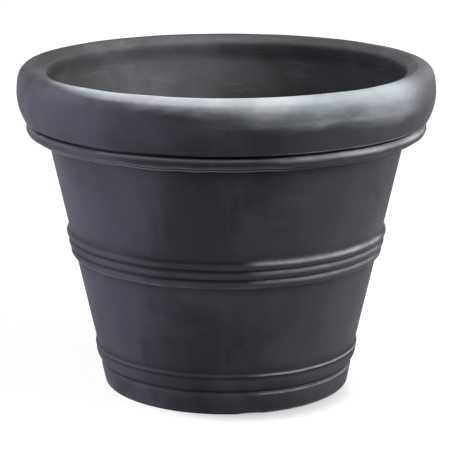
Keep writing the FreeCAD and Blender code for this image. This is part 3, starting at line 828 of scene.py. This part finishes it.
def moulded(name, dark, pale, low_sheen, high_sheen, grain_size):
    """A fine-grained moulded finish, a little dusty."""
    material, tree, shader = new_finish(name)
    place = add(tree, "TexCoord").outputs["Object"]
    dust_and_highlight = between(tree, cloud(tree, place, 60, 5, 0.65), 0.45, 0.72)
    tree.links.new(blend(tree, dust_and_highlight, grey(dark), grey(pale, (1.03, 1, 0.95))), shader.inputs["Base Color"])
    tree.links.new(between(tree, dust_and_highlight, 0, 1, low_sheen, high_sheen), shader.inputs["Roughness"])
    bump = add(tree, "Bump", {"Height": cloud(tree, place, grain_size, 2), "Strength": 0.25,
                              "Distance": GRAIN_HEIGHT})
    tree.links.new(bump.outputs[0], shader.inputs["Normal"])
    return material


plug_plastic = moulded("plug_plastic", 0.016, 0.030, 0.38, 0.55, 1400)
button_plastic = moulded("button_plastic", 0.020, 0.034, 0.40, 0.55, 1400)
seal_rubber = moulded("seal_rubber", 0.009, 0.024, 0.62, 0.80, 900)
for pieces, material in ((plugs, plug_plastic), ([button], button_plastic), (seals, seal_rubber)):
    for piece in pieces:
        piece.data.materials.clear()
        piece.data.materials.append(material)
print("materials:", sorted(m.name for m in (charcoal, plug_plastic, button_plastic, seal_rubber)))

# %% [markdown]
# ## Floor
# The planter stands on a plain white floor. The floor is an ordinary matte surface, so it takes the
# pot's soft shadow and throws light back on the pot. To the camera, and to reflections, it also gives
# off light of its own, so that it reads as white paper without more light on the pot. That light
# fades towards the front right of the foot, a painted shadow where the pot's shadow is deepest, and
# goes out under the pot, a painted shade that makes an open drain hole look dark.

# %% Lay the floor
FLOOR_RADIUS, FLOOR_GREY = 14.0, 0.26
SHADOW_MIDDLE, SHADOW_EDGE, SHADOW_LIGHT = (0.027, -0.045, 0), (0.102, 0.150), (0.44, 0.89)
UNDER_POT, UNDER_POT_LIGHT = (0.110, 0.135), (0.02, 1.0)
FAR_FLOOR, FAR_LIGHT = (0.5, 2.5), (0.0, 0.13)
ground = bmesh.new()
bmesh.ops.create_circle(ground, cap_ends=True, segments=96, radius=FLOOR_RADIUS)
floor = finish_mesh(ground, "studio_floor")


def looked_at(tree):
    """1 for what the camera sees, also in a reflection or through glass, and else 0."""
    rays = add(tree, "LightPath").outputs
    seen = reckon(tree, "MAXIMUM", rays["Is Camera Ray"], rays["Is Glossy Ray"])
    return reckon(tree, "MAXIMUM", seen, rays["Is Transmission Ray"])


paper, tree, shader = new_finish("white_paper")
shader.inputs["Roughness"].default_value = 0.9
shader.inputs["Specular IOR Level"].default_value = 0.0
shader.inputs["Base Color"].default_value = grey(FLOOR_GREY)
shader.inputs["Emission Color"].default_value = grey(1.0)
place = add(tree, "TexCoord").outputs["Object"]
away = add(tree, "VectorMath", {0: place}, operation="LENGTH").outputs["Value"]
from_shadow = add(tree, "VectorMath", {0: place, 1: SHADOW_MIDDLE}, operation="DISTANCE").outputs["Value"]
# the floor's own light dims near the foot as a painted shadow, and under the pot as painted shade
painted_shadow_light = times(tree, between(tree, from_shadow, *SHADOW_EDGE, *SHADOW_LIGHT),
                   between(tree, away, *UNDER_POT, *UNDER_POT_LIGHT))
own_light = reckon(tree, "ADD", painted_shadow_light, between(tree, away, *FAR_FLOOR, *FAR_LIGHT))
tree.links.new(times(tree, looked_at(tree), own_light), shader.inputs["Emission Strength"])
floor.data.materials.append(paper)
print("floor of", FLOOR_RADIUS, "m")

# %% [markdown]
# ## Room
# The room is a plain white one. The camera and reflections see it white, so the background is white
# too, but it lights the pot only faintly from all sides. More light from the room would fill the
# shadows and turn the charcoal into a flat grey.

# %% Light the room
ROOM_GLOW = 0.12
world = bpy.data.worlds.new("studio_room")
bpy.context.scene.world = world
world.use_nodes = True
tree = world.node_tree
glow = add(tree, "MapRange", {"Value": looked_at(tree), "To Min": ROOM_GLOW, "To Max": 1.0}).outputs[0]
background = tree.nodes["Background"]
background.inputs["Color"].default_value = grey(1.0)
tree.links.new(glow, background.inputs["Strength"])
print("room glow", ROOM_GLOW)

# %% [markdown]
# ## Soft lights
# The lamps are those of a product picture: a weak wide one overhead, a small bright one above and to
# the right that picks out the crown, a cool strip on the left and a broad one on the right. No lamp
# stands in front, so the middle of the pot stays dark and the sides turn paler. All are area lamps,
# because a wide source gives the soft edges that a point lamp can't.

# %% Hang the soft lights
TARGET = Vector((0, 0, 0.30))


def hang_lamp(name, towards, distance, along, length, width, glow, tint):
    """A rectangular soft light that points at the pot. Its glow is the brightness of its face."""
    data = bpy.data.lights.new(name, "AREA")
    data.shape, data.size, data.size_y = "RECTANGLE", length, width
    data.energy, data.color = glow * math.pi * length * width, tint
    lamp = bpy.data.objects.new(name, data)
    back = Vector(towards).normalized()
    sideways = (Vector(along) - back * back.dot(Vector(along))).normalized()
    turned = Matrix((sideways, back.cross(sideways), back)).transposed()
    lamp.location = TARGET + back * distance
    lamp.rotation_euler = turned.to_euler()
    lamp.visible_camera = False
    bpy.context.scene.collection.objects.link(lamp)
    return lamp


lamps = [
    hang_lamp("ceiling", towards=(0.40, 0.10, 0.90), distance=1.6, along=(1, 0, 0),
              length=1.5, width=1.3, glow=0.8, tint=(0.99, 1, 1)),
    hang_lamp("key_above_right", towards=(0.48, -0.08, 0.87), distance=1.5, along=(0.73, 0.55, -0.40),
              length=0.8, width=0.45, glow=17.0, tint=(0.99, 1, 1)),
    hang_lamp("left_side", towards=(-0.94, -0.30, 0.12), distance=1.6, along=(0, 1, 0),
              length=1.8, width=0.6, glow=7.2, tint=(0.97, 0.95, 1.12)),
    hang_lamp("right_side", towards=(0.88, -0.32, 0.32), distance=1.6, along=(0, 1, 0),
              length=1.2, width=0.9, glow=6.6, tint=(1.0, 0.99, 1.04))]
print("lamps:", [lamp.name for lamp in lamps])

# %% [markdown]
# ## Camera
# The picture was taken from about two and a half metres away with a long lens, slightly above the
# rim. The lens, the height and the tilt below put the rim, the foot and the sides of this pot where
# the photograph has them. The picture is square, 450 pixels each way.

# %% Set up the camera
PICTURE, FOCAL_PIXELS, SHIFT_PIXELS = 450, 2088.7, -1.35
CAMERA_PLACE, CAMERA_TILT = (0, -2.5078, 0.8111), 13.786
camera_data = bpy.data.cameras.new("view")
camera_data.sensor_width = 36.0
camera_data.lens = camera_data.sensor_width * FOCAL_PIXELS / PICTURE
camera_data.shift_x = SHIFT_PIXELS / PICTURE
camera = bpy.data.objects.new("view", camera_data)
camera.location = CAMERA_PLACE
camera.rotation_euler = (math.radians(90 - CAMERA_TILT), 0, 0)
bpy.context.scene.collection.objects.link(camera)
bpy.context.scene.camera = camera
bpy.context.scene.view_settings.view_transform = "Standard"
print("lens", round(camera_data.lens, 1), "mm")
